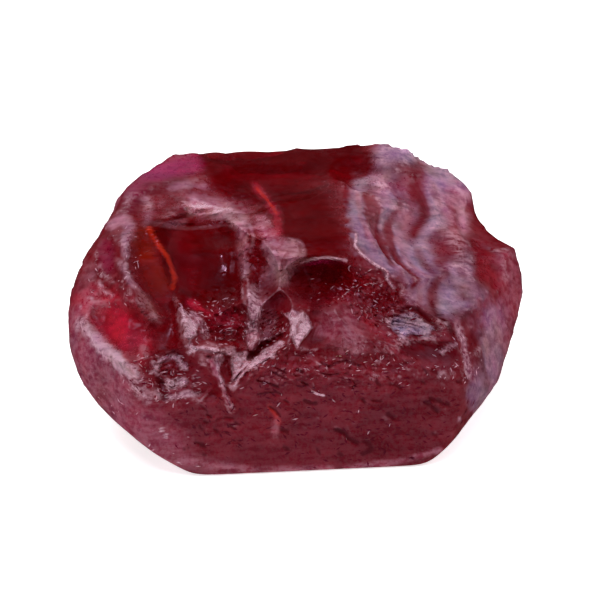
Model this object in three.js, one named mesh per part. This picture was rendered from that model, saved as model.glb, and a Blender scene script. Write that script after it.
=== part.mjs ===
import * as THREE from "three";
import { mergeVertices } from "three/addons/utils/BufferGeometryUtils.js";

// A rough ruby crystal, one natural piece, in millimetres with +Z up.
// It rests on a flat, broken-off base at z = 0.

// Driving sizes
const middleHeight = 3.78;
const lookDown = 30;
const edgeHardness = 44;
const meshDetail = 21;
const crowding = 0.5;
const clearOfBase = [0.35, 1.3];
const notchStretch = 0.4;

// A side is the stone as it appears from one direction.
// Its u runs right, v runs up and w runs towards the eye, all from the stone's middle.
function makeSide(azimuth, elevation) {
  const a = THREE.MathUtils.degToRad(azimuth);
  const e = THREE.MathUtils.degToRad(elevation);
  const right = new THREE.Vector3(Math.cos(a), Math.sin(a), 0);
  const away = new THREE.Vector3(-Math.sin(a), Math.cos(a), 0);
  const lift = new THREE.Vector3(0, 0, 1);
  const up = away.clone().multiplyScalar(Math.sin(e)).addScaledVector(lift, Math.cos(e));
  const eye = away.clone().multiplyScalar(-Math.cos(e)).addScaledVector(lift, Math.sin(e));
  return { right, up, eye };
}

const front = makeSide(0, lookDown);
const back = makeSide(180, 10);
const rightEnd = makeSide(90, 20);
const leftEnd = makeSide(-90, 15);
const top = makeSide(0, 88);

function place(side, [u, v, w]) {
  return new THREE.Vector3()
    .addScaledVector(side.right, u)
    .addScaledVector(side.up, v)
    .addScaledVector(side.eye, w);
}

// Natural faces. Each passes through a point [u, v, w] of its side.
// It leans towards an angle around the eye (0 right, 90 up) by so many degrees away from it.
const frontFaces = {
  frontFace: { through: [0, -5.68, 1.85], around: 285, away: 20 },
  brokenSlope: { through: [0, -1.8, 3.1], around: 76, away: 20 },
  plateau: { through: [0, 2.0, 1.85], around: 91, away: 55 },
  sheenFace: { through: [1.65, 2.0, 1.85], around: 61, away: 51 },
  rightFlank: { through: [6.15, 0.8, 0.4], around: 8, away: 60 },
  rightFoot: { through: [5.7, -2.5, 2.4], around: 334, away: 62 },
  leftFacet: { through: [-5.4, -2.2, 3.4], around: 206, away: 50 },
  leftShoulder: { through: [-5.3, 1.0, 2.5], around: 152, away: 46 },
  corner: { through: [-4.8, 4.3, -0.45], around: 128, away: 62 },
};

// The half of the outline that turns away from the eye.
const outlineFaces = {
  topEdge: { through: [0, 5.55, -2.8], around: 92.5, away: 112 },
  topRight: { through: [4.76, 5.05, -3.0], around: 63, away: 105 },
  upperRight: { through: [6.8, 2.65, -2.2], around: 32, away: 103 },
  rightEdge: { through: [7.68, 0.6, -2.2], around: 3, away: 106 },
  lowerRight: { through: [6.75, -2.3, -0.3], around: 331, away: 106 },
  cornerEdge: { through: [-5.94, 3.88, -1.2], around: 141, away: 108 },
  leftEdge: { through: [-7.2, 1.44, 0.6], around: 160, away: 104 },
  leftFoot: { through: [-7.55, -1.0, 1.2], around: 190, away: 104 },
  lowerLeft: { through: [-6.78, -3.14, 1.6], around: 218, away: 102 },
  footLeft: { through: [-4.7, -4.83, 2.4], around: 238, away: 102 },
  footRight: { through: [5.1, -4.3, 0.8], around: 310, away: 106 },
};

// Faces that only show from behind, from the ends and from above.
const backFaces = {
  backFace: { through: [0, 2.1, 5.95], around: 80, away: 3 },
  backRight: { through: [5.75, 1.0, 4.15], around: 5, away: 46 },
  backLeft: { through: [-4.8, 0, 6.4], around: 176, away: 44 },
  backFoot: { through: [0.5, -1.2, 5.5], around: 268, away: 40 },
};

function facePlanes(side, faces) {
  return Object.values(faces).map(({ through, around, away }) => {
    const a = THREE.MathUtils.degToRad(around);
    const t = THREE.MathUtils.degToRad(away);
    const lean = [Math.sin(t) * Math.cos(a), Math.sin(t) * Math.sin(a), Math.cos(t)];
    const normal = place(side, lean);
    return { normal, distance: normal.dot(place(side, through)) };
  });
}

const basePlane = { normal: new THREE.Vector3(0, 0, -1), distance: middleHeight };

const planes = [
  ...facePlanes(front, frontFaces),
  ...facePlanes(front, outlineFaces),
  ...facePlanes(back, backFaces),
  basePlane,
];

// Shell-like hollows: centre, half sizes, turn in degrees, depth.
// A lean moves the deepest place towards one end.
const frontHollows = {
  bowl: { at: [-3.1, 1.5], half: [1.75, 2.0], turn: 15, deep: 1.3, lean: [0.1, -0.2] },
  bowlLeft: { at: [-4.55, 0.9], half: [0.95, 1.8], turn: 22, deep: 0.75 },
  bowlRight: { at: [-1.55, 1.2], half: [0.95, 1.25], turn: 25, deep: 0.8 },
  shoulder: { at: [-2.2, 3.3], half: [1.9, 0.75], turn: -16, deep: 0.36, lean: [0, -0.6] },
  shoulderLeft: { at: [-4.6, 3.3], half: [1.25, 0.7], turn: 24, deep: 0.3, lean: [0, -0.3] },
  leftHollow: { at: [-6.0, 1.5], half: [0.5, 0.85], turn: 20, deep: 0.16, lean: [0.3, 0] },
  leftScallop: { at: [-5.7, 2.6], half: [0.55, 0.45], turn: 40, deep: 0.1 },
  leftCurl: { at: [-6.2, 0.35], half: [0.55, 0.5], turn: 0, deep: 0.18, lean: [0.3, 0] },
  glowBasin: { at: [-5.75, -0.75], half: [1.25, 0.95], turn: -42, deep: 0.5, lean: [-0.2, 0] },
  underRidge: { at: [-4.35, -0.85], half: [0.6, 1.2], turn: -18, deep: 0.5 },
  cluster: { at: [-4.1, -2.1], half: [1.05, 0.85], turn: -15, deep: 0.42 },
  midHollow: { at: [-2.2, -0.6], half: [1.0, 0.85], turn: -20, deep: 0.62 },
  spireLeft: { at: [-3.0, -2.5], half: [0.75, 0.6], turn: -30, deep: 0.3 },
  spireRight: { at: [-2.1, -1.85], half: [0.62, 0.75], turn: 20, deep: 0.4 },
  rippleHollow: { at: [-0.75, -0.35], half: [0.55, 0.95], turn: -20, deep: 0.6 },
  wedgeGap: { at: [-1.0, -1.35], half: [1.0, 0.38], turn: 38, deep: 0.4 },
  underLine: { at: [0.75, 0.75], half: [1.3, 0.95], turn: -4, deep: 0.62, lean: [0, 0.9] },
  triangleSide: { at: [0.55, -0.75], half: [0.7, 0.65], turn: 30, deep: 0.3 },
  grainHollow: { at: [2.6, 0.05], half: [1.7, 1.1], turn: -32, deep: 0.35 },
  swirl: { at: [4.0, -0.5], half: [0.8, 0.6], turn: 0, deep: 0.22 },
  darkRight: { at: [5.65, -0.75], half: [0.6, 0.85], turn: -12, deep: 0.35 },
  darkLedge: { at: [4.6, -1.6], half: [1.25, 0.5], turn: -8, deep: 0.24, lean: [0, 0.5] },
  longGroove: { at: [2.85, 2.35], half: [1.5, 0.36], turn: -68, deep: 0.3 },
  upperGroove: { at: [4.1, 3.2], half: [1.1, 0.4], turn: -76, deep: 0.32 },
  bentGroove: { at: [3.8, 1.25], half: [0.85, 0.27], turn: -62, deep: 0.2 },
  thinGroove: { at: [4.72, 0.95], half: [0.95, 0.18], turn: -84, deep: 0.12 },
  shortGroove: { at: [5.1, 2.05], half: [0.65, 0.28], turn: -55, deep: 0.17 },
  sheenScallop: { at: [2.1, 2.7], half: [0.5, 1.7], turn: 12, deep: 0.12 },
  sheenHigh: { at: [3.5, 4.0], half: [0.4, 0.9], turn: 10, deep: 0.12, lean: [0, -0.5] },
  sheenFar: { at: [5.2, 3.2], half: [0.6, 1.0], turn: 18, deep: 0.16, lean: [0, -0.4] },
  redFlank: { at: [6.3, 1.45], half: [0.55, 1.0], turn: 10, deep: 0.36 },
};

const backHollows = {
  wideScoop: { at: [1.6, 1.2], half: [2.4, 1.7], turn: 20, deep: 0.8 },
  smallScoop: { at: [-1.9, 0.4], half: [1.7, 1.3], turn: -25, deep: 0.6 },
  ledge: { at: [-4.2, 1.6], half: [1.5, 1.0], turn: 35, deep: 0.5, lean: [0.3, 0] },
  lowScoop: { at: [0.2, -1.3], half: [2.3, 0.8], turn: 5, deep: 0.5 },
  endChip: { at: [4.6, -0.4], half: [1.2, 1.2], turn: 0, deep: 0.45 },
  highChip: { at: [-1.0, 1.6], half: [1.4, 0.7], turn: 8, deep: 0.4 },
};

const endHollows = {
  endScoop: { at: [0.8, 0.6], half: [1.5, 1.1], turn: 30, deep: 0.45 },
  endLedge: { at: [-1.3, -0.6], half: [1.1, 0.9], turn: -20, deep: 0.35 },
};

const leftHollows = {
  endScoop: { at: [-1.4, 0.6], half: [1.3, 1.0], turn: -20, deep: 0.1 },
  endLedge: { at: [-2.6, -1.0], half: [1.0, 0.8], turn: 30, deep: 0.3 },
};

const topHollows = {
  shallowDish: { at: [-1.0, 3.0], half: [2.2, 1.1], turn: 6, deep: 0.18 },
  backDish: { at: [2.6, 3.6], half: [1.5, 0.9], turn: -20, deep: 0.22 },
};

// Raised lines on the photographed side: points, half width, height.
const frontRidges = {
  leftRib: { line: [[-5.7, 1.25], [-5.5, 0.9], [-5.0, 0.1], [-4.45, -0.5]], half: 0.35, rise: 0.15 },
  fin: { line: [[-3.85, 0.1], [-3.7, -0.75], [-3.3, -1.4], [-2.15, -1.45]], half: 0.38, rise: 0.42 },
  spire: { line: [[-3.1, -1.5], [-2.5, -2.55], [-2.15, -3.3]], half: 0.34, rise: 0.25 },
  bevelRim: { line: [[-6.95, -0.5], [-6.35, -1.3], [-5.35, -2.15]], half: 0.34, rise: 0.22 },
  middleRib: { line: [[-1.6, 0.9], [-1.55, 0], [-1.5, -0.9]], half: 0.38, rise: 0.36 },
  longRib: { line: [[-2.1, -2.6], [-1.1, -1.75], [-0.3, -1.2], [0.2, -0.2]], half: 0.36, rise: 0.34 },
  lobe: { line: [[-1.0, 1.85], [-0.4, 1.6], [0.2, 1.65], [1.6, 1.58]], half: 0.36, rise: 0.32 },
  wedge: { line: [[-0.35, -0.1], [0.2, -0.75], [0.1, -1.2]], half: 0.4, rise: 0.32 },
  grainBump: { line: [[1.3, -0.2], [2.0, -1.3]], half: 0.5, rise: 0.2 },
};

// Notches bitten out of the outline, each pushed in along its own direction.
// They run on along w, so a step along w counts as notchStretch of its length.
const notches = [
  { at: [6.5, 2.65, -1.8], from: 30, radius: 1.05, deep: 0.5 },
  { at: [4.45, 5.0, -2.9], from: 68, radius: 0.7, deep: 0.16 },
  { at: [5.9, -3.4, -0.2], from: 318, radius: 1.2, deep: 0.15 },
];

function hollowDepth({ at, half, turn, deep, lean = [0, 0] }, u, v) {
  const t = THREE.MathUtils.degToRad(turn);
  const du = u - at[0];
  const dv = v - at[1];
  const x = (du * Math.cos(t) + dv * Math.sin(t)) / half[0];
  const y = (dv * Math.cos(t) - du * Math.sin(t)) / half[1];
  const inside = 1 - x * x - y * y;
  return inside > 0 ? deep * inside * Math.max(0, 1 + lean[0] * x + lean[1] * y) : 0;
}

function distanceToLine(line, u, v) {
  let nearest = Infinity;
  for (let i = 1; i < line.length; i++) {
    const [au, av] = line[i - 1];
    const [bu, bv] = line[i];
    const lengthSq = (bu - au) ** 2 + (bv - av) ** 2;
    const along = ((u - au) * (bu - au) + (v - av) * (bv - av)) / lengthSq;
    const t = THREE.MathUtils.clamp(along, 0, 1);
    nearest = Math.min(nearest, Math.hypot(u - au - t * (bu - au), v - av - t * (bv - av)));
  }
  return nearest;
}

function ridgeHeight({ line, half, rise }, u, v) {
  return rise * Math.max(0, 1 - distanceToLine(line, u, v) / half);
}

function relief(hollows, ridges, u, v) {
  const depth = Math.max(0, ...Object.values(hollows).map((hollow) => hollowDepth(hollow, u, v)));
  const height = Math.max(0, ...Object.values(ridges).map((ridge) => ridgeHeight(ridge, u, v)));
  return height - depth;
}

const carvings = [
  { side: front, hollows: frontHollows, ridges: frontRidges },
  { side: back, hollows: backHollows, ridges: {} },
  { side: rightEnd, hollows: endHollows, ridges: {} },
  { side: leftEnd, hollows: leftHollows, ridges: {} },
  { side: top, hollows: topHollows, ridges: {} },
];

// The convex body in one direction from the middle, and its outward normal there.
function bodySurface(direction) {
  let sum = 0;
  const normal = new THREE.Vector3();
  for (const plane of planes) {
    const share = Math.max(0, plane.normal.dot(direction) / plane.distance) ** edgeHardness;
    sum += share;
    normal.addScaledVector(plane.normal, share / plane.distance);
  }
  const point = direction.clone().multiplyScalar(sum ** (-1 / edgeHardness));
  return { point, normal: normal.normalize() };
}

function carve(point, normal) {
  const height = point.z + middleHeight;
  const aboveBase = THREE.MathUtils.smoothstep(height, ...clearOfBase);
  for (const { side, hollows, ridges } of carvings) {
    const facing = THREE.MathUtils.smoothstep(normal.dot(side.eye), 0.12, 0.42);
    if (facing === 0) continue;
    const change = relief(hollows, ridges, point.dot(side.right), point.dot(side.up));
    point.addScaledVector(side.eye, change * facing * aboveBase);
  }
  for (const { at, from, radius, deep } of notches) {
    const a = THREE.MathUtils.degToRad(from);
    const inwards = place(front, [-Math.cos(a), -Math.sin(a), 0]);
    const offset = point.clone().sub(place(front, at));
    offset.addScaledVector(front.eye, (notchStretch - 1) * offset.dot(front.eye));
    const reach = 1 - (offset.length() / radius) ** 2;
    point.addScaledVector(inwards, deep * Math.max(0, reach));
  }
}

function makeStone() {
  const sphere = new THREE.IcosahedronGeometry(1, meshDetail);
  sphere.deleteAttribute("normal");
  sphere.deleteAttribute("uv");
  const geometry = mergeVertices(sphere, 1e-5);
  const position = geometry.getAttribute("position");
  const direction = new THREE.Vector3();
  for (let i = 0; i < position.count; i++) {
    direction.fromBufferAttribute(position, i).addScaledVector(front.eye, crowding).normalize();
    const { point, normal } = bodySurface(direction);
    carve(point, normal);
    point.z = Math.max(point.z, -middleHeight);
    position.setXYZ(i, point.x, point.y, point.z + middleHeight);
  }
  geometry.computeBoundingBox();
  const centre = geometry.boundingBox.getCenter(new THREE.Vector3());
  geometry.translate(-centre.x, -centre.y, -geometry.boundingBox.min.z);
  geometry.computeVertexNormals();
  return geometry;
}

const rubyMaterial = new THREE.MeshStandardMaterial({ color: 0x6e1a2b, roughness: 0.35, metalness: 0 });

const ruby = new THREE.Mesh(makeStone(), rubyMaterial);
ruby.name = "ruby";

const part = new THREE.Group();
part.add(ruby);

export default part;
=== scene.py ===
import math

import bpy
import numpy as np
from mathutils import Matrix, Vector


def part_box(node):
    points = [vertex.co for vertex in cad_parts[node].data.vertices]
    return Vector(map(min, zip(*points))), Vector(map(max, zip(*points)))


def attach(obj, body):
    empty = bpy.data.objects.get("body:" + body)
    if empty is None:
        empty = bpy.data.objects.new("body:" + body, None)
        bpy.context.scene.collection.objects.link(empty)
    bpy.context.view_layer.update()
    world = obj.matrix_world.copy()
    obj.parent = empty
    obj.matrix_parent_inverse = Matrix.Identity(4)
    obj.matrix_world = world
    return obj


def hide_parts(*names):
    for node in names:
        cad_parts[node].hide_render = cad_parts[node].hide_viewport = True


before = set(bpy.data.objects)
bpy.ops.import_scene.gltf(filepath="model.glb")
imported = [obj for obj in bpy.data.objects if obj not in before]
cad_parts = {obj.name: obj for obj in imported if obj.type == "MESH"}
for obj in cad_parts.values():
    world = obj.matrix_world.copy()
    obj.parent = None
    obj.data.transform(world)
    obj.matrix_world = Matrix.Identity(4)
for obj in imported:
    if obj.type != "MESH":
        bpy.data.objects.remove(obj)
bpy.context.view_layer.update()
mm = 0.001

# The view that the stone's features are placed in. Its lengths are millimetres.
view = {
    "lookDown": 30.0,
    "lens": 800.0,
    "sensor": 36.0,
    "frameWidth": 19.82,          # across the picture, at the stone's middle
    "frameMiddle": (0.12, 0.23),  # the picture's middle, from the stone's middle
    "clipStart": 0.01,            # in metres
}

stone = {
    "middleHeight": 3.78,
    "edgeHardness": 44,
    "latticeSteps": 120,
    "crowding": 0.5,              # draws the mesh towards the looked-at side
    "flatness": 1.6,              # over 1, a hollow has a flatter floor and a steeper rim
    "notchStretch": 0.4,          # under 1, a notch runs on along the line of sight
    "clearOfBase": (0.35, 1.3),
    "facing": (0.12, 0.42),       # where the main relief fades in, by the cosine to the eye
    "fineFacing": (0.25, 0.6),
    "sharpAngle": 38,
}


def makeSide(azimuth, elevation):
    a, e = math.radians(azimuth), math.radians(elevation)
    right = np.array([math.cos(a), math.sin(a), 0.0])
    away = np.array([-math.sin(a), math.cos(a), 0.0])
    lift = np.array([0.0, 0.0, 1.0])
    up = away * math.sin(e) + lift * math.cos(e)
    eye = lift * math.sin(e) - away * math.cos(e)
    return {"right": right, "up": up, "eye": eye}


front = makeSide(0, view["lookDown"])
back = makeSide(180, 10)
rightEnd = makeSide(90, 20)
leftEnd = makeSide(-90, 15)
top = makeSide(0, 88)


def place(side, u, v, w):
    return side["right"] * u + side["up"] * v + side["eye"] * w


# Natural faces: a point (right, up, towards the eye), the way the face leans
# around the eye (0 right, 90 up) and by how many degrees away from it.
frontFaces = {
    "frontFace": ((0, -5.68, 1.85), 285, 20),
    "brokenSlope": ((0, -1.8, 3.1), 76, 20),
    "plateau": ((0, 2.0, 1.85), 91, 55),
    "sheenFace": ((1.65, 2.0, 1.85), 61, 51),
    "rightFlank": ((6.15, 0.8, 0.4), 8, 60),
    "rightFoot": ((5.7, -2.5, 2.4), 334, 62),
    "leftFacet": ((-5.4, -2.2, 3.4), 206, 50),
    "leftShoulder": ((-5.3, 1.0, 2.5), 152, 46),
    "corner": ((-4.8, 4.3, -0.45), 128, 62),
    "topEdge": ((0, 5.55, -2.8), 92.5, 112),
    "topRight": ((4.76, 5.05, -3.0), 63, 105),
    "upperRight": ((6.8, 2.65, -2.2), 32, 103),
    "rightEdge": ((7.68, 0.6, -2.2), 3, 106),
    "lowerRight": ((6.75, -2.3, -0.3), 331, 106),
    "cornerEdge": ((-5.94, 3.88, -1.2), 141, 108),
    "leftEdge": ((-7.2, 1.44, 0.6), 160, 104),
    "leftFoot": ((-7.55, -1.0, 1.2), 190, 104),
    "lowerLeft": ((-6.78, -3.14, 1.6), 218, 102),
    "footLeft": ((-4.7, -4.83, 2.4), 238, 102),
    "footRight": ((5.1, -4.3, 0.8), 310, 106),
}
backFaces = {
    "backFace": ((0, 2.1, 5.95), 80, 3),
    "backRight": ((5.75, 1.0, 4.15), 5, 46),
    "backLeft": ((-4.8, 0, 6.4), 176, 44),
    "backFoot": ((0.5, -1.2, 5.5), 268, 40),
}


def facePlanes(side, faces):
    found = []
    for through, around, away in faces.values():
        a, t = math.radians(around), math.radians(away)
        normal = place(side, math.sin(t) * math.cos(a), math.sin(t) * math.sin(a), math.cos(t))
        found.append((normal, normal @ place(side, *through)))
    return found


planes = facePlanes(front, frontFaces) + facePlanes(back, backFaces)
planes.append((np.array([0.0, 0.0, -1.0]), stone["middleHeight"]))

# Shell-like hollows: centre, half sizes, turn in degrees, depth, lean.
frontHollows = {
    "bowl": ((-3.1, 1.5), (1.75, 2.0), 15, 1.3, (0.1, -0.2)),
    "bowlLeft": ((-4.55, 0.9), (0.95, 1.8), 22, 0.75, (0, 0)),
    "bowlRight": ((-1.55, 1.2), (0.95, 1.25), 25, 0.8, (0, 0)),
    "shoulder": ((-2.2, 3.3), (1.9, 0.75), -16, 0.36, (0, -0.6)),
    "shoulderLeft": ((-4.6, 3.3), (1.25, 0.7), 24, 0.3, (0, -0.3)),
    "leftHollow": ((-6.0, 1.5), (0.5, 0.85), 20, 0.16, (0.3, 0)),
    "leftScallop": ((-5.7, 2.6), (0.55, 0.45), 40, 0.1, (0, 0)),
    "leftCurl": ((-6.2, 0.35), (0.55, 0.5), 0, 0.18, (0.3, 0)),
    "glowBasin": ((-5.75, -0.75), (1.25, 0.95), -42, 0.5, (-0.2, 0)),
    "underRidge": ((-4.35, -0.85), (0.6, 1.2), -18, 0.5, (0, 0)),
    "cluster": ((-4.1, -2.1), (1.05, 0.85), -15, 0.42, (0, 0)),
    "midHollow": ((-2.2, -0.6), (1.0, 0.85), -20, 0.62, (0, 0)),
    "spireLeft": ((-3.0, -2.5), (0.75, 0.6), -30, 0.3, (0, 0)),
    "spireRight": ((-2.1, -1.85), (0.62, 0.75), 20, 0.4, (0, 0)),
    "rippleHollow": ((-0.75, -0.35), (0.55, 0.95), -20, 0.6, (0, 0)),
    "wedgeGap": ((-1.0, -1.35), (1.0, 0.38), 38, 0.4, (0, 0)),
    "underLine": ((0.75, 0.75), (1.3, 0.95), -4, 0.62, (0, 0.9)),
    "triangleSide": ((0.55, -0.75), (0.7, 0.65), 30, 0.3, (0, 0)),
    "grainHollow": ((2.6, 0.05), (1.7, 1.1), -32, 0.35, (0, 0)),
    "swirl": ((4.0, -0.5), (0.8, 0.6), 0, 0.22, (0, 0)),
    "darkRight": ((5.65, -0.75), (0.6, 0.85), -12, 0.35, (0, 0)),
    "darkLedge": ((4.6, -1.6), (1.25, 0.5), -8, 0.24, (0, 0.5)),
    "longGroove": ((2.85, 2.35), (1.6, 0.4), -68, 0.2, (0, 0)),
    "upperGroove": ((4.1, 3.2), (1.2, 0.42), -76, 0.22, (0, 0)),
    "bentGroove": ((3.8, 1.25), (0.9, 0.3), -62, 0.14, (0, 0)),
    "thinGroove": ((4.72, 0.95), (1.0, 0.22), -84, 0.1, (0, 0)),
    "shortGroove": ((5.1, 2.05), (0.7, 0.3), -55, 0.1, (0, 0)),
    "sheenScallop": ((2.1, 2.7), (0.4, 1.8), 12, 0.08, (0, 0)),
    "sheenHigh": ((3.5, 4.0), (0.4, 0.9), 10, 0.06, (0, -0.5)),
    "sheenFar": ((5.2, 3.2), (0.5, 1.1), 18, 0.1, (0, -0.4)),
    "redFlank": ((6.3, 1.45), (0.55, 1.0), 10, 0.36, (0, 0)),
    "topFrontLeft": ((0.1, -1.75), (0.7, 0.35), 10, 0.1, (0, 0)),
    "topFrontMiddle": ((1.3, -1.7), (0.8, 0.4), -8, 0.14, (0, 0)),
    "topFrontRight": ((2.7, -1.85), (1.0, 0.4), -5, 0.16, (0, 0)),
}
backHollows = {
    "wideScoop": ((1.6, 1.2), (2.4, 1.7), 20, 0.8, (0, 0)),
    "smallScoop": ((-1.9, 0.4), (1.7, 1.3), -25, 0.6, (0, 0)),
    "ledge": ((-4.2, 1.6), (1.5, 1.0), 35, 0.5, (0.3, 0)),
    "lowScoop": ((0.2, -1.3), (2.3, 0.8), 5, 0.5, (0, 0)),
    "endChip": ((4.6, -0.4), (1.2, 1.2), 0, 0.45, (0, 0)),
    "highChip": ((-1.0, 1.6), (1.4, 0.7), 8, 0.4, (0, 0)),
}
rightHollows = {
    "endScoop": ((0.8, 0.6), (1.5, 1.1), 30, 0.45, (0, 0)),
    "endLedge": ((-1.3, -0.6), (1.1, 0.9), -20, 0.35, (0, 0)),
}
leftHollows = {
    "endScoop": ((-1.4, 0.6), (1.3, 1.0), -20, 0.1, (0, 0)),
    "endLedge": ((-2.6, -1.0), (1.0, 0.8), 30, 0.3, (0, 0)),
}
topHollows = {
    "shallowDish": ((-1.0, 3.0), (2.2, 1.1), 6, 0.18, (0, 0)),
    "backDish": ((2.6, 3.6), (1.5, 0.9), -20, 0.22, (0, 0)),
}

# Raised lines of the looked-at side: points, half width, height.
frontRidges = {
    "leftRib": ([(-5.7, 1.25), (-5.5, 0.9), (-5.0, 0.1), (-4.45, -0.5)], 0.3, 0.15),
    "fin": ([(-3.85, 0.1), (-3.7, -0.75), (-3.3, -1.4), (-2.15, -1.45)], 0.3, 0.42),
    "spire": ([(-3.1, -1.5), (-2.5, -2.55), (-2.15, -3.3)], 0.28, 0.25),
    "bevelRim": ([(-6.95, -0.5), (-6.35, -1.3), (-5.35, -2.15)], 0.3, 0.22),
    "middleRib": ([(-1.6, 0.9), (-1.55, 0), (-1.5, -0.9)], 0.34, 0.36),
    "longRib": ([(-2.1, -2.6), (-1.1, -1.75), (-0.3, -1.2), (0.2, -0.2)], 0.32, 0.34),
    "lobe": ([(-1.0, 1.85), (-0.4, 1.6), (0.2, 1.65), (1.6, 1.58)], 0.32, 0.32),
    "wedge": ([(-0.35, -0.1), (0.2, -0.75), (0.1, -1.2)], 0.4, 0.32),
    "grainBump": ([(1.3, -0.2), (2.0, -1.3)], 0.5, 0.2),
}

# Notches in the outline: place, side that they come from, radius, depth.
notches = [
    ((6.45, 2.85, -1.8), 30, 1.2, 0.46),
    ((4.45, 5.0, -2.9), 68, 0.7, 0.16),
    ((5.9, -3.4, -0.2), 318, 1.2, 0.06),
]

# Thin raised threads and folds: points, half width, height.
threads = {
    "wigglyThread": ([(1.97, 2.4), (1.93, 2), (2.13, 1.73), (2.63, 1.37), (3, 1.17), (2.97, 0.93),
                      (3.2, 0.63)], 0.07, 0.09),
    "loopThread": ([(1.73, 2.3), (1.83, 1.9), (1.9, 1.63)], 0.07, 0.06),
    "leftCurl": ([(-6.47, 0.77), (-6.37, 0.5), (-6.07, 0.37)], 0.1, 0.1),
    "spireLip": ([(-3.1, -3.03), (-2.87, -2.77), (-2.5, -2.57), (-2.33, -2.57)], 0.09, 0.1),
    "ringTop": ([(-4.8, -2.03), (-4.7, -1.67), (-4.4, -1.47), (-4.07, -1.5), (-3.8, -1.73)], 0.08, 0.1),
    "ringInner": ([(-4.6, -2.17), (-4.53, -1.8), (-4.27, -1.63), (-3.97, -1.73)], 0.07, 0.07),
    "swirlArc": ([(3.17, -0.5), (3.4, -0.33), (3.6, -0.33)], 0.09, 0.1),
    "bumpEdge": ([(1.13, -1.1), (1.23, -1.37), (1.5, -1.57), (1.8, -1.67)], 0.09, 0.06),
    "ledgeStreak": ([(4.8, -1.5), (5, -1.33), (5.23, -1.23)], 0.1, 0.08),
    "edgeGlint": ([(-0.47, -0.17), (-0.23, -0.43)], 0.08, 0.12),
    "scratch": ([(-4.43, -4), (-4.23, -4.33)], 0.05, 0.05),
    "chipEdge": ([(-5.5, -2.37), (-5.2, -2.7), (-4.97, -2.97)], 0.08, 0.08),
    "faceCurl": ([(0.53, -2.77), (0.7, -2.87), (0.9, -2.9)], 0.06, 0.05),
}

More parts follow.
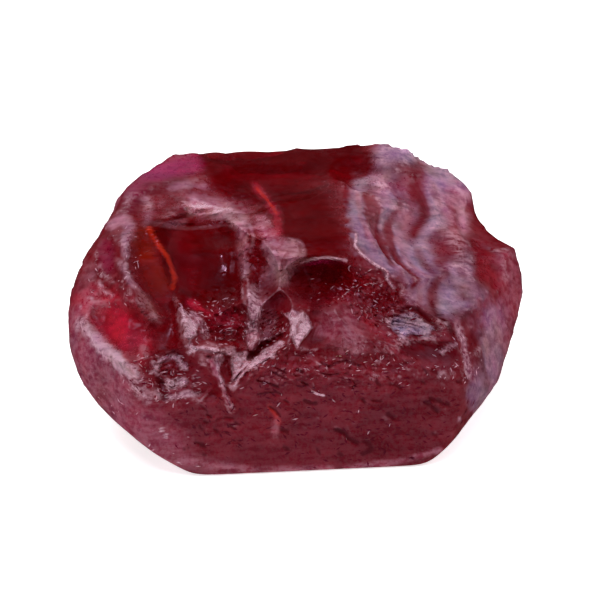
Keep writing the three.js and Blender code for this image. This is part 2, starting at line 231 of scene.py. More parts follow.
# Cut lines and etched dashes: points, half width, depth.
grooves = {
    "swirlDark": ([(3.73, -0.03), (4, 0.07), (4.3, -0.03), (4.5, -0.3), (4.63, -0.77)], 0.09, 0.12),
    "ledgeGroove": ([(-1.53, -1.67), (-1.2, -1.33), (-0.87, -1.13), (-0.53, -0.93)], 0.14, 0.22),
    "pit": ([(-4.5, -2.4), (-4.4, -2.7), (-4.33, -2.93)], 0.17, 0.25),
    "ringShadow": ([(-4.67, -1.6), (-4.37, -1.4), (-4.03, -1.43), (-3.77, -1.63)], 0.07, 0.09),
    "finShadow": ([(-3.17, -1.37), (-2.8, -1.47), (-2.27, -1.53)], 0.07, 0.1),
    "flankLine": ([(4.8, 0.23), (4.9, -0.37), (5.1, -0.83)], 0.1, 0.12),
    "pitRow": ([(0.83, -1.83), (1.1, -1.97), (1.3, -1.83), (1.63, -1.77), (1.87, -1.87), (2.07, -1.93)],
                0.07, 0.1),
    "dashA": ([(-1.27, -2.4), (-1, -2.47), (-0.83, -2.53), (-0.6, -2.63)], 0.06, 0.09),
    "dashB": ([(-1.27, -2.87), (-0.93, -2.8), (-0.63, -2.8), (-0.47, -2.87)], 0.05, 0.08),
    "dashC": ([(-0.7, -1.97), (-0.5, -2.07), (-0.33, -2.17)], 0.05, 0.08),
    "dashD": ([(-0.87, -2.07), (-0.6, -2.23), (-0.27, -2.37)], 0.05, 0.07),
    "dashE": ([(0.03, -2.07), (0.2, -2.13)], 0.08, 0.09),
    "dashF": ([(0.2, -2.47), (0.37, -2.57)], 0.07, 0.09),
    "dashG": ([(0.27, -3.07), (0.47, -3.17), (0.63, -3.17)], 0.09, 0.09),
    "dashH": ([(-0.37, -3.07), (-0.27, -3.13)], 0.06, 0.08),
    "dashI": ([(-0.87, -3.27), (-0.67, -3.4), (-0.53, -3.6)], 0.07, 0.07),
    "dashJ": ([(-0.47, -4.03), (-0.3, -4.1)], 0.1, 0.09),
    "dashK": ([(-0.4, -4.6), (-0.27, -4.67)], 0.1, 0.07),
    "crack": ([(1.3, -4.03), (1.57, -4.13), (1.73, -4.33), (2, -4.47)], 0.09, 0.1),
    "crackHook": ([(2.27, -4.43), (2.43, -4.53), (2.47, -4.7), (2.2, -4.83)], 0.12, 0.1),
    "dashL": ([(1.4, -4.8), (1.5, -4.87)], 0.09, 0.08),
    "dashM": ([(0.67, -4.67), (0.77, -4.8)], 0.08, 0.07),
    "dashN": ([(0.8, -2.17), (1.1, -2.23), (1.37, -2.2)], 0.05, 0.07),
    "dashO": ([(2.17, -3.03), (2.23, -3.13)], 0.08, 0.09),
    "dashP": ([(2.5, -3.07), (2.77, -3.1)], 0.06, 0.09),
    "dashQ": ([(2.63, -2.43), (2.73, -2.57)], 0.08, 0.09),
    "dashR": ([(3.07, -2.53), (3.27, -2.57), (3.43, -2.67)], 0.07, 0.1),
    "dashS": ([(3.03, -3.53), (3.17, -3.63)], 0.12, 0.1),
    "dashT": ([(4.47, -4.17), (4.6, -4.23)], 0.09, 0.09),
    "dashU": ([(3.97, -2.4), (4.23, -2.5)], 0.05, 0.05),
    "dashV": ([(4.4, -3), (4.67, -3.1), (4.97, -3.2)], 0.1, 0.12),
    "dashW": ([(4.2, -3.13), (4.43, -3.23), (4.67, -3.47)], 0.08, 0.11),
    "dashX": ([(4.47, -2.07), (4.63, -2.17)], 0.09, 0.1),
    "dashY": ([(4.13, -1.97), (4.3, -2.2)], 0.06, 0.08),
    "dashZ": ([(3.57, -1.83), (3.8, -1.77)], 0.06, 0.08),
    "leftDashA": ([(-3.13, -3.23), (-2.93, -3.4)], 0.05, 0.07),
    "leftDashB": ([(-2.93, -3.53), (-2.77, -3.63)], 0.06, 0.08),
    "leftDashC": ([(-2.63, -3.7), (-2.37, -3.63), (-2.07, -3.67)], 0.05, 0.07),
    "leftDashD": ([(-3.03, -3.73), (-2.93, -3.8)], 0.06, 0.08),
    "leftDashE": ([(-3.17, -3.93), (-3.07, -4.03)], 0.07, 0.08),
    "leftDashF": ([(-2.7, -4), (-2.6, -4.07)], 0.07, 0.08),
    "leftDashG": ([(-2.17, -3.9), (-2.03, -4)], 0.07, 0.08),
    "leftDashH": ([(-2, -3.8), (-1.87, -3.87)], 0.06, 0.08),
    "leftDashI": ([(-3.3, -4.43), (-3.13, -4.53), (-3, -4.57)], 0.07, 0.09),
    "leftDashJ": ([(-3.7, -4.67), (-3.53, -4.6)], 0.05, 0.07),
    "leftDashK": ([(-3.07, -4.83), (-3, -4.87)], 0.08, 0.07),
    "sideDash": ([(5.3, -2.43), (5.43, -2.47)], 0.07, 0.09),
}

# Broken ground, made of little flat chips: centre, half sizes, turn, size of a chip, steepness.
brokenGround = {
    "grainZone": ((3.07, -0.03), (2.2, 1.15), -28, 0.15, 0.65),
    "grainLow": ((3.2, -1.37), (2.2, 0.6), -4, 0.14, 0.6),
    "underLine": ((0.73, 0.73), (1.1, 0.9), 0, 0.25, 0.35),
    "middle": ((-2.27, -0.6), (1.9, 1.3), -20, 0.24, 0.5),
    "bladeSide": ((-1.13, -1.1), (1.0, 1.2), 0, 0.16, 0.55),
    "cluster": ((-4.37, -2.27), (1.5, 1.0), -15, 0.17, 0.55),
    "basin": ((-5.2, -0.93), (1.2, 0.9), -30, 0.22, 0.2),
    "frontTop": ((1.13, -2.03), (4.6, 0.75), -2, 0.2, 0.4),
    "frontAll": ((0.8, -3.6), (6.2, 2.2), -3, 0.34, 0.09),
    "lowerLeft": ((-4.87, -3.77), (2.2, 1.5), -35, 0.2, 0.14),
    "leftSide": ((-6.03, 1.57), (1.2, 2.2), -15, 0.3, 0.22),
    "band": ((-3.03, 3.3), (2.8, 1.0), 4, 0.4, 0.14),
    "bowlEdge": ((-1.13, 1.5), (0.9, 1.6), 10, 0.26, 0.3),
    "rightSide": ((5.53, -0.93), (1.1, 1.6), -20, 0.25, 0.4),
    "slope": ((1.13, -0.1), (6.2, 1.8), 0, 0.6, 0.05),
}

# Flat shards: outline, finish, height over the ground, and how it tilts (right, up).
shards = {
    "triangle": ([(-0.4, -0.23), (-0.13, -0.03), (0.4, -0.3), (0.53, -0.7), (0.3, -1.03), (0.03, -1.33),
                  (-0.1, -1.13), (-0.23, -0.63)],
                 "bright", 0.16, (0.3, -0.35)),
    "tallFacet": ([(-1.63, 0.37), (-1.53, 0.6), (-1.23, 0.37), (-1.13, 0.03), (-1.13, -0.37),
                   (-1.37, -0.47), (-1.57, -0.4)],
                  "lilac", 0.16, (-0.3, -0.35)),
    "lowFacet": ([(-1.63, -0.93), (-1.37, -0.77), (-1.17, -0.87), (-1.2, -1.2), (-1.4, -1.53),
                  (-1.6, -1.37)], "rose", 0.12, (-0.25, -0.35)),
    "blade": ([(-2.13, -1.6), (-1.63, -1.43), (-1.47, -1.7), (-1.63, -2), (-1.93, -2.27), (-2.13, -2.5)],
               "bright", 0.14, (-0.25, -0.35)),
    "bladeEdge": ([(-1.93, -2.27), (-1.47, -1.77), (-1.03, -1.37), (-0.57, -1.1), (-0.33, -1.13),
                   (-0.73, -1.6), (-1.13, -1.83),
                   (-1.6, -2.1), (-2.03, -2.57)], "bright", 0.22, (0.15, -0.4)),
    "spireRed": ([(-3, -1.5), (-2.77, -1.6), (-2.53, -2.07), (-2.3, -2.67), (-2.07, -3.4),
                  (-2.23, -3.17), (-2.5, -2.63), (-2.73, -2.23)],
                 "rose", 0.1, (0.2, -0.15)),
    "spireFacet": ([(-2.7, -1.6), (-2.43, -1.53), (-2.4, -1.7), (-2.5, -2.07), (-2.37, -2.43),
                    (-2.5, -2.57), (-2.63, -2.17)],
                   "bright", 0.14, (0.2, -0.25)),
    "spireDark": ([(-2.33, -1.67), (-2.17, -1.6), (-2.13, -2.5), (-2.3, -2.63)], "deepWine", 0.02, (-0.5, 0)),
    "finFace": ([(-3.87, 0.13), (-3.77, 0.07), (-3.57, -0.23), (-3.27, -0.63), (-3.23, -0.93),
                 (-3.4, -1.03), (-3.63, -0.97), (-3.7, -0.6),
                 (-3.8, -0.2)], "bright", 0.14, (-0.25, -0.3)),
    "finChip": ([(-3.6, -1.27), (-3.43, -1.13), (-3.27, -1.37), (-3.37, -1.5)], "bright", 0.14, (0.2, -0.4)),
    "roundChipA": ([(-4.3, -2.5), (-4.2, -2.37), (-4.03, -2.37), (-3.93, -2.53), (-4.07, -2.67),
                    (-4.23, -2.67)], "bright", 0.1, (-0.3, -0.4)),
    "roundChipB": ([(-3.9, -2.47), (-3.8, -2.33), (-3.63, -2.33), (-3.53, -2.47), (-3.63, -2.6),
                    (-3.8, -2.63)], "bright", 0.1, (0.2, -0.4)),
    "cornerChip": ([(-3.83, -1.83), (-3.67, -1.77), (-3.53, -1.9), (-3.6, -2.1), (-3.77, -2.07)],
                    "bright", 0.08, (0.3, -0.4)),
    "edgeChip": ([(-5.4, -2.57), (-5.2, -2.47), (-5, -2.63), (-5.1, -2.87), (-5.3, -2.8)],
                  "lilac", 0.08, (-0.3, -0.3)),
    "swirlFace": ([(3.17, -0.53), (3.37, -0.27), (3.67, -0.17), (4.07, -0.1), (4.4, -0.3), (4.53, -0.7),
                   (4.33, -1), (3.87, -0.9),
                   (3.43, -0.97), (3.23, -0.8)], "swirl", 0.06, (0.1, -0.2)),
}

# Fields of fine parallel folds: centre, half sizes, turn of the folds, spacing, height.
foldFields = {
    "sheenSilk": ((4.07, 2.23), (2.9, 2.2), -68, 0.7, 0.04),
    "sheenFine": ((3.63, 2.4), (2.4, 1.9), -70, 0.3, 0.015),
    "rippleLines": ((-0.87, -0.5), (0.5, 0.5), 32, 0.11, 0.035),
    "swirlLines": ((3.87, -0.5), (0.75, 0.5), -12, 0.2, 0.05),
    "ringLines": ((-4.2, -1.9), (0.55, 0.42), 5, 0.13, 0.035),
    "triangleLines": ((0.13, -0.77), (0.5, 0.7), 75, 0.14, 0.015),
    "bowlSilk": ((-3.03, 1.4), (1.5, 1.4), 86, 0.42, 0.005),
    "bandSilk": ((-3.03, 3.3), (2.2, 0.7), 12, 0.3, 0.03),
    "lobeSilk": ((-0.53, 1.43), (0.7, 0.7), 30, 0.22, 0.02),
}

# Silky streaks in the colour: centre, half sizes, turn of the streaks, spacing.
silkFields = [
    ((3.87, 2.5), (2.5, 1.6), -66, 0.32),
    ((-3.03, 3.17), (2.0, 0.6), 6, 0.2),
    ((6.3, -1.6), (1.6, 0.6), -70, 0.3),
    ((-0.53, 1.43), (0.6, 0.6), 60, 0.16),
]

# Where pale splinters, small chips that carry painted glints, and dark etch pits lie: centre, half sizes,
# turn, how thickly.
fleckZones = {
    "glintSplinters": [
        ((-4.37, -2.37), (1.5, 0.9), -15, 1.0),
        ((2.97, 0.07), (2.1, 1.0), -28, 0.6),
        ((-1.13, -1.1), (1.2, 1.1), 30, 0.9),
        ((1.63, -1.83), (3.2, 0.45), -2, 0.5),
        ((-2.37, -0.6), (1.6, 1.0), -20, 0.7),
        ((-4.87, -3.93), (2.2, 1.2), -30, 0.16),
        ((-5.87, 1.23), (1.0, 1.6), -15, 0.35),
        ((4.97, -1.6), (1.3, 0.9), -20, 0.3),
        ((0.8, -3.27), (5.0, 1.4), -3, 0.05),
        ((0.13, 0.57), (1.2, 0.8), 0, 0.08),
    ],
    "etchPits": [
        ((1.13, -3.1), (5.0, 1.4), -4, 1.0),
        ((-2.7, -3.93), (1.6, 1.2), -4, 0.8),
        ((2.3, -4.43), (3.0, 1.0), 8, 0.6),
        ((-4.37, -2.43), (1.4, 0.9), -15, 0.6),
        ((2.97, -0.03), (2.0, 1.0), -28, 0.6),
    ],
}

# Finishes: colour under the pale frost sheen, roughness, and how far that pale frost sheen covers it. Several
# finishes are painted light, as noted at each.
finishes = {
    "clear": ((0.13, 0.0, 0.001), 0.14, 0.0),
    "deep": ((0.2, 0.0, 0.003), 0.2, 0.0),
    "shade": ((0.13, 0.0, 0.001), 0.16, 0.0),
    # painted shade in the cut lines and dashes
    "grooveShade": ((0.11, 0.0, 0.003), 0.45, 0.0),
    # swirl: painted highlight on the swirl patch
    "swirl": ((0.4, 0.24, 0.42), 0.3, 0.35),
    "wine": ((0.28, 0.001, 0.009), 0.46, 0.02),
    "mauve": ((0.38, 0.028, 0.07), 0.46, 0.1),
    "deepWine": ((0.2, 0.0, 0.004), 0.36, 0.02),
    "cloud": ((0.45, 0.14, 0.2), 0.36, 0.15),
    # pale: painted highlight, soft
    "pale": ((0.7, 0.32, 0.42), 0.34, 0.3),
    # lilac: painted highlight on rims and facets; the side zones lay it as a random tone
    "lilac": ((0.36, 0.08, 0.14), 0.3, 0.55),
    # bright: painted highlight on facets, ridges and chips
    "bright": ((0.66, 0.26, 0.35), 0.24, 0.92),
    # sheen: painted reflection of a soft box on the sheen face; the side zones lay it as a random tone
    "sheen": ((0.36, 0.21, 0.36), 0.36, 0.18),
    "rose": ((0.55, 0.06, 0.12), 0.4, 0.25),
    # crimson: painted glow of light inside the stone
    "crimson": ((0.72, 0.02, 0.06), 0.24, 0.0),
    # ember and flame: painted glow of light caught in inner cracks, such as the leaf-shaped mark and its edge
    "ember": ((0.3, 0.012, 0.003), 0.14, 0.0),
    "flame": ((0.85, 0.03, 0.01), 0.2, 0.0),
    # magenta: painted glow of light through thin edges, as at the upper left corner; the side zones lay it as
    # a random tone
    "magenta": ((0.44, 0.008, 0.1), 0.3, 0.0),
    # painted shade in pits, hollows and grooves
    "pitShade": ((0.17, 0.001, 0.007), 0.4, 0.0),
}

# Strokes laid over the looked-at side, in order: finish, points, half width, strength, raggedness.
# A single point makes a round patch and a longer line a band.
# Many strokes paint light: highlights, reflections, glows and shade, as their finishes say.
strokes = [
    # painted light: the lower left facet and its foot are laid paler mauve, as they catch more light
    ("mauve", [(-7.33, -1.27), (-6.7, -2.6), (-5.7, -3.7), (-4.53, -4.6)], 1.0, 0.9, 0.3),
    ("mauve", [(-4.87, -4.83), (-2.2, -5.37)], 0.35, 0.5, 0.3),
    ("deepWine", [(3.3, -3.93), (4.8, -3.03)], 1.7, 0.6, 0.3),
    ("deepWine", [(0.13, -3.93), (2.13, -4.27)], 1.0, 0.3, 0.4),
    # painted glow: light coming through the thin lower edge
    ("rose", [(-3.87, -5.03), (-1.53, -5.37), (1.13, -5.33)], 0.12, 0.5, 0.6),
    ("rose", [(1.63, -5.3), (3.47, -5.07), (4.73, -4.7)], 0.1, 0.6, 0.6),
    ("clear", [(-3.03, 4.63), (-1.2, 4.73), (0.8, 4.73), (1.63, 4.83)], 0.85, 1.0, 0.15),
    ("clear", [(1.8, 5.17), (2.4, 4.5)], 0.5, 0.9, 0.3),
    ("clear", [(-0.2, 4.07), (0.63, 3.07), (0.87, 2.23)], 1.0, 1.0, 0.15),
    # painted glow: light coming through the thin upper left corner
    ("magenta", [(-4.87, 4.5), (-3.53, 4.73)], 0.42, 0.95, 0.2),
    ("deepWine", [(-5.03, 4.03), (-3.2, 4.23)], 0.12, 0.6, 0.4),
    ("magenta", [(-5.63, 3.4), (-5.13, 4)], 0.3, 0.6, 0.2),
    ("clear", [(-4.37, 2.5), (-3.2, 2.23), (-2.8, 1.5), (-3.03, 0.5)], 1.1, 1.0, 0.15),
    ("deep", [(-4.87, 2.07), (-4.53, 0.9)], 0.8, 0.8, 0.2),
    ("rose", [(-4.7, 3.33), (-3.7, 3.47)], 0.5, 0.45, 0.6),
    ("deepWine", [(-4.93, 3.9), (-4.27, 3.63), (-3.53, 3.67)], 0.3, 0.6, 0.7),
    ("deepWine", [(-5.8, 3.4), (-5.33, 3.4)], 0.3, 0.7, 0.6),
    ("cloud", [(-5, 3.57), (-4.87, 3.17), (-5, 2.73)], 0.16, 0.5, 0.5),
    ("pale", [(-4.97, 3.57), (-4.9, 3.37)], 0.1, 0.6, 0.3),
    ("deepWine", [(-4, 4.03), (-3.2, 4.2), (-2.67, 3.83)], 0.3, 0.75, 0.6),
    ("cloud", [(-4.13, 3.93), (-3.53, 4.07), (-3.03, 4)], 0.12, 0.55, 0.8),
    ("cloud", [(-3.37, 3.4), (-2.7, 3.47), (-2, 3.33), (-1.53, 3)], 0.34, 0.85, 0.6),
    ("pale", [(-3.4, 3.27), (-2.8, 3.2), (-2.2, 3.1), (-1.87, 2.87)], 0.3, 1.0, 0.6),
    ("bright", [(-3.3, 3.27), (-2.77, 3.23), (-2.13, 3.07)], 0.2, 0.75, 0.8),
    ("deep", [(-1.33, 2.97), (-1.07, 2.3), (-1.2, 1.5)], 0.42, 0.85, 0.7),
    ("cloud", [(-1.57, 2.77), (-1.4, 2.3), (-1.5, 1.83)], 0.06, 0.7, 0.6),
    ("cloud", [(-1.13, 2.7), (-0.93, 2.23)], 0.05, 0.6, 0.6),
    ("rose", [(-1.87, 2.7), (-1.67, 2.1), (-1.8, 1.5)], 0.1, 0.5, 0.8),
    ("clear", [(-2.37, 4.17), (-1.37, 3.67), (-0.53, 2.97), (0.13, 2.3)], 0.5, 0.95, 0.5),
    ("cloud", [(-1.77, 2.5), (-1.87, 1.83), (-1.67, 1.07)], 0.2, 0.65, 0.8),
    ("shade", [(-4.27, 2.83), (-3.6, 2.43), (-3.93, 1.5)], 0.75, 0.95, 0.25),
    ("shade", [(-3.53, 0.5), (-2.7, 0.57)], 0.4, 0.8, 0.4),
    ("shade", [(-2.4, 2.23), (-2.23, 1.5), (-2.33, 0.77)], 0.5, 0.95, 0.4),
    ("deep", [(-3.8, 2.17), (-3.53, 1.5), (-3.67, 0.77)], 0.4, 0.7, 0.5),
    ("rose", [(-1.13, 2.73), (-0.7, 2.07)], 0.3, 0.6, 0.6),
    ("cloud", [(-0.87, 1.9), (-0.13, 1.83), (-0.23, 1.3), (-0.77, 1.1)], 0.34, 0.95, 0.7),
    ("pale", [(-0.67, 1.8), (-0.2, 1.67)], 0.16, 0.6, 0.8),
    ("cloud", [(-0.67, 1.5), (-0.5, 0.87)], 0.26, 0.7, 0.8),
    ("pale", [(-0.8, 1.5), (-0.4, 1.23), (-0.33, 0.97)], 0.18, 0.9, 0.7),
    ("deep", [(-1.37, 1.9), (-1.27, 0.73)], 0.16, 0.7, 0.4),
    ("cloud", [(-6.2, 2.77), (-5.87, 2.93), (-5.53, 2.67), (-5.43, 2.37)], 0.22, 0.75, 0.5),
    ("cloud", [(-5.67, 2.37), (-5.63, 1.7)], 0.14, 0.7, 0.5),
    ("cloud", [(-5.87, 1.5), (-5.67, 1.3)], 0.15, 0.6, 0.5),
    ("deepWine", [(-6.33, 2.03), (-6.2, 1.23)], 0.4, 0.8, 0.4),
    ("magenta", [(-6.3, 1.97), (-6.2, 1.23)], 0.26, 0.3, 0.4),
    ("cloud", [(-6.77, 1.3), (-6.93, 0.57), (-6.7, 0.23)], 0.25, 0.3, 0.6),
    ("cloud", [(-5.57, 1), (-4.97, 0.33), (-4.6, -0.37)], 0.1, 0.7, 0.6),
    ("lilac", [(-6.5, 0.77), (-6.37, 0.5), (-6.07, 0.37)], 0.09, 0.9, 0.3),
    ("crimson", [(-6.6, -0.17), (-6.03, -0.6), (-5.47, -0.9)], 0.85, 0.9, 0.3),
    ("flame", [(-6.03, -0.6)], 0.45, 0.25, 0.1),
    ("rose", [(-6.67, 0.07)], 0.45, 0.7, 0.3),
    ("deep", [(-5.2, -0.1), (-4.87, -0.6)], 0.4, 0.7, 0.4),
    ("bright", [(-7.1, -0.03)], 0.06, 0.9, 0.2),
    ("mauve", [(-7.27, -0.37), (-6.7, -1.43), (-6.03, -2.17), (-5.47, -2.63)], 0.5, 0.9, 0.4),
    ("lilac", [(-7, -0.57), (-6.47, -1.27), (-5.93, -1.73), (-5.4, -2.2)], 0.26, 0.85, 0.6),
    ("pale", [(-6.87, -0.7), (-6.37, -1.3), (-5.87, -1.77), (-5.47, -2.13)], 0.22, 0.8, 0.6),
    ("crimson", [(-3.47, 0.13), (-3.27, 0)], 0.17, 1.0, 0.2),
    ("crimson", [(-3.2, -0.03), (-2.87, -0.2)], 0.07, 0.9, 0.2),
    ("deep", [(-4.37, 0.23), (-4.13, -0.93), (-3.93, -1.17)], 0.35, 0.8, 0.3),
    ("lilac", [(-3.43, -0.2), (-3.1, -0.53), (-2.93, -0.93)], 0.1, 0.9, 0.5),
    ("lilac", [(-3.23, -1.33), (-2.83, -1.43), (-2.2, -1.5)], 0.06, 1.0, 0.4),
    ("deep", [(-2.7, -0.37), (-2.13, -0.93)], 0.55, 0.7, 0.5),
    ("lilac", [(-1.43, 0.57), (-1.3, -0.17), (-1.47, -1.03)], 0.22, 0.4, 0.8),
    ("cloud", [(-1, 0.23), (-0.8, -0.37), (-1, -0.97)], 0.16, 0.45, 0.8),
    ("pitShade", [(-1.47, -1.7), (-1.23, -1.43), (-0.8, -1.13), (-0.57, -1)], 0.08, 0.9, 0.3),
    ("pitShade", [(-0.93, 0.73), (-0.7, 0.23), (-0.87, -0.17)], 0.3, 0.7, 0.5),
    ("bright", [(0.17, 1.43), (0.5, 1.57), (0.97, 1.63), (1.63, 1.53)], 0.05, 1.0, 0.4),
    ("lilac", [(0.23, 1.3), (0.4, 0.97), (0.57, 0.57)], 0.06, 0.8, 0.6),
    ("magenta", [(0.23, 1.37), (0.87, 1.5), (1.53, 1.43)], 0.08, 0.5, 0.5),
    ("crimson", [(0.73, 0.37), (1.47, 0.5)], 0.4, 0.35, 0.5),
    ("shade", [(0.13, 0.97), (0.73, 0.43), (1.4, 1.03)], 0.62, 0.95, 0.3),
    ("rose", [(1.2, -0.6), (1.63, -0.43), (1.8, -1.27)], 0.5, 0.4, 0.5),
    ("deepWine", [(0.73, -1.27), (1.13, -1.5)], 0.3, 0.6, 0.4),
    ("deep", [(1.8, 0.9), (2.97, 0.23), (4.13, 0.23)], 0.5, 0.7, 0.7),
    ("crimson", [(-2.7, -0.37), (-2.03, -0.5)], 0.3, 0.3, 0.6),
    ("crimson", [(2.47, -0.43), (3.47, -1.43)], 0.3, 0.2, 0.6),
    ("sheen", [(3.03, 5.1), (3.8, 5.13), (4.8, 4.63), (5.53, 4.07)], 0.42, 0.85, 0.25),
    ("sheen", [(2.13, 4.23), (2, 3.57), (2, 2.73), (2.2, 2.07), (3.07, 1.3)], 0.32, 0.8, 0.7),
    ("sheen", [(2.9, 4.23), (3.3, 2.9), (3.63, 1.9), (4.3, 0.73)], 0.55, 0.95, 0.25),
    ("sheen", [(4.8, 4.23), (4.47, 3.07), (4.47, 1.57), (5.3, 0.23)], 0.65, 0.95, 0.25),
    ("bright", [(2.83, 4.17)], 0.3, 0.5, 0.3),
    ("rose", [(5.3, 3.63), (5.53, 2.63)], 0.5, 0.5, 0.5),
    ("cloud", [(5.53, 3.4), (5.8, 2.9), (5.93, 2.23)], 0.4, 0.9, 0.5),
    ("pale", [(5.67, 3.17), (5.87, 2.5)], 0.24, 0.6, 0.7),
    ("sheen", [(5.63, 1.5), (6.13, 0.57)], 0.35, 0.5, 0.5),
    ("deepWine", [(4.13, 4.83), (4.03, 3.97), (4.2, 3.17)], 0.26, 0.8, 0.5),
    ("deepWine", [(2.53, 3.57), (2.8, 2.73), (3.2, 1.9)], 0.24, 0.7, 0.6),
    ("deepWine", [(4.4, 1.97), (4.67, 1.07), (4.73, 0.23)], 0.14, 0.6, 0.6),
    ("deepWine", [(3.43, 3.57), (3.4, 2.73), (3.6, 1.83), (4, 0.77)], 0.17, 0.75, 0.6),
    ("deepWine", [(4.8, 2.5), (5.07, 1.77), (4.8, 0.73), (4.83, -0.17)], 0.17, 0.75, 0.5),
    ("deepWine", [(4.53, 4.07), (4.73, 3.4)], 0.12, 0.5, 0.5),
    ("pitShade", [(2.33, 3.7), (2.73, 2.97), (3.07, 2.13), (3.17, 1.5)], 0.2, 1.0, 0.4),
    ("pitShade", [(3.93, 3.97), (4.2, 3.3), (4.2, 2.5)], 0.2, 1.0, 0.4),
    ("pitShade", [(3.57, 1.9), (3.7, 1.5), (3.9, 1.07), (4, 0.8)], 0.12, 0.9, 0.4),
    ("cloud", [(2, 3.83), (2.13, 2.97), (2.47, 2.23)], 0.1, 0.7, 0.5),
    ("cloud", [(3.73, 2.37), (4, 1.63), (4.4, 1.07)], 0.12, 0.7, 0.6),
    ("cloud", [(4.4, 0.37), (4.27, 0.7)], 0.12, 0.6, 0.5),
    ("cloud", [(3.6, 4.37), (3.73, 3.57), (3.87, 2.73)], 0.09, 0.6, 0.6),
    ("deepWine", [(6.2, 2.23), (6.37, 1.17), (6.8, 0.73)], 0.62, 0.95, 0.4),
    ("crimson", [(6.13, 1.9), (6.23, 1.17), (6.8, 0.73)], 0.3, 0.25, 0.5),
    ("mauve", [(6.97, 1.5), (7.3, 0.23)], 0.4, 0.7, 0.4),
    ("bright", [(3.2, -0.37), (3.4, -0.77), (3.53, -0.97)], 0.1, 0.8, 0.5),
    ("pitShade", [(3.67, -0.03), (3.93, 0.1), (4.27, 0), (4.53, -0.3), (4.67, -0.83)], 0.07, 0.95, 0.2),
    ("pitShade", [(3.63, -1.27), (4.3, -1.43), (5.07, -1.43)], 0.34, 0.9, 0.4),
    ("lilac", [(4.8, -1.5), (5, -1.33), (5.23, -1.23)], 0.06, 0.9, 0.3),
    ("pitShade", [(5, -0.43), (5.1, -0.83)], 0.15, 0.8, 0.3),
    ("pitShade", [(5.63, -0.3), (5.93, -0.77), (5.87, -1.5)], 0.3, 0.85, 0.3),
    ("lilac", [(5.3, -0.6), (5.53, -1.27), (5.67, -2.27)], 0.12, 0.7, 0.4),
    ("sheen", [(6.53, -0.37), (6.47, -1.6), (6.07, -3.03)], 0.5, 0.6, 0.4),
    ("cloud", [(6.57, -0.5), (6.53, -1.43), (6.27, -2.43)], 0.26, 0.45, 0.5),
    ("mauve", [(7.2, 0.07), (7.07, -1.1)], 0.5, 0.5, 0.3),
    ("bright", [(1.97, 2.4), (1.93, 2), (2.13, 1.73), (2.63, 1.37), (3, 1.17)], 0.04, 1.0, 0.2),
    ("bright", [(3, 1.17), (2.97, 0.93), (3.2, 0.63)], 0.04, 0.9, 0.2),
    ("crimson", [(-1.33, 4.13), (-0.97, 3.73), (-0.67, 3.1), (-0.6, 2.5)], 0.16, 0.35, 0.7),
    ("flame", [(-1.3, 4.07), (-0.97, 3.7), (-0.67, 3.1)], 0.055, 0.55, 0.4),
    ("ember", [(-5.1, 2.3), (-4.97, 1.57), (-4.6, 0.77)], 0.42, 0.85, 0.3),
    ("deep", [(-5.33, 1.9), (-5.2, 1.23)], 0.12, 0.5, 0.3),
    ("flame", [(-4.87, 2.6), (-4.6, 2.13), (-4.23, 1.63), (-4, 0.97)], 0.08, 0.9, 0.3),
    ("flame", [(-4, 0.97), (-4.07, 0.63)], 0.06, 0.6, 0.3),
    ("pitShade", [(-4.5, -2.63), (-4.37, -2.87)], 0.2, 1.0, 0.2),
    ("lilac", [(-4.7, -1.83), (-4.6, -2.17), (-4.43, -2.37)], 0.08, 0.7, 0.5),
    ("lilac", [(-5.27, -2.6), (-4.87, -3)], 0.2, 0.7, 0.8),
    ("bright", [(-4.73, -2.17), (-4.43, -1.7), (-3.93, -1.63), (-3.67, -1.97)], 0.07, 0.8, 0.6),
    ("bright", [(-4.27, -2.43), (-4.07, -2.57), (-3.73, -2.43)], 0.12, 0.7, 0.6),
    ("bright", [(-3.53, -1.5), (-3.23, -1.33), (-2.73, -1.4), (-2.2, -1.5)], 0.06, 0.9, 0.4),
    ("lilac", [(-4.13, -2.97), (-3.53, -2.83), (-3.2, -2.87)], 0.1, 0.8, 0.6),
    ("flame", [(-0.87, -3.27), (-0.67, -3.5), (-0.6, -3.77)], 0.1, 0.45, 0.4),
    ("rose", [(-0.67, -3.7), (-0.7, -4.23)], 0.12, 0.4, 0.4),
    ("bright", [(-4.43, -4), (-4.23, -4.33)], 0.03, 0.9, 0.1),
    ("bright", [(0.53, -2.77), (0.7, -2.87), (0.9, -2.9)], 0.03, 0.9, 0.1),
    ("lilac", [(5.37, -3.7)], 0.08, 0.7, 0.2),
]

# Zones of the sides that the strokes don't reach: finish, size of a zone, strength.
sideZones = [
    ("mauve", 2.6, 0.75),
    ("deepWine", 1.6, 0.8),
    ("deep", 2.2, 0.6),
    ("magenta", 3.0, 0.2),
    ("rose", 2.2, 0.2),
    ("lilac", 1.8, 0.22),
    ("sheen", 2.6, 0.3),
]


def smoothstep(low, high, x):
    t = np.clip((x - low) / (high - low), 0, 1)
    return t * t * (3 - 2 * t)


noiseCells = 32
noiseBlock = np.random.default_rng(11).random((noiseCells, noiseCells, noiseCells)) * 2 - 1


def noiseAt(points, size):
    # smooth seeded values between -1 and 1, one swell for every size millimetres
    q = points / size
    low = np.floor(q).astype(int)
    f = q - low
    f = f * f * (3 - 2 * f)
    total = np.zeros(len(points))
    for step in np.ndindex(2, 2, 2):
        i, j, k = ((low + step) % noiseCells).T
        total += np.prod(np.where(step, f, 1 - f), axis=1) * noiseBlock[i, j, k]
    return total


def turned(u, v, centre, turn):
    t = math.radians(turn)
    du, dv = u - centre[0], v - centre[1]
    return du * math.cos(t) + dv * math.sin(t), dv * math.cos(t) - du * math.sin(t)


def patchMask(u, v, centre, half, turn):
    x, y = turned(u, v, centre, turn)
    return np.maximum(0, 1 - (x / half[0]) ** 2 - (y / half[1]) ** 2)


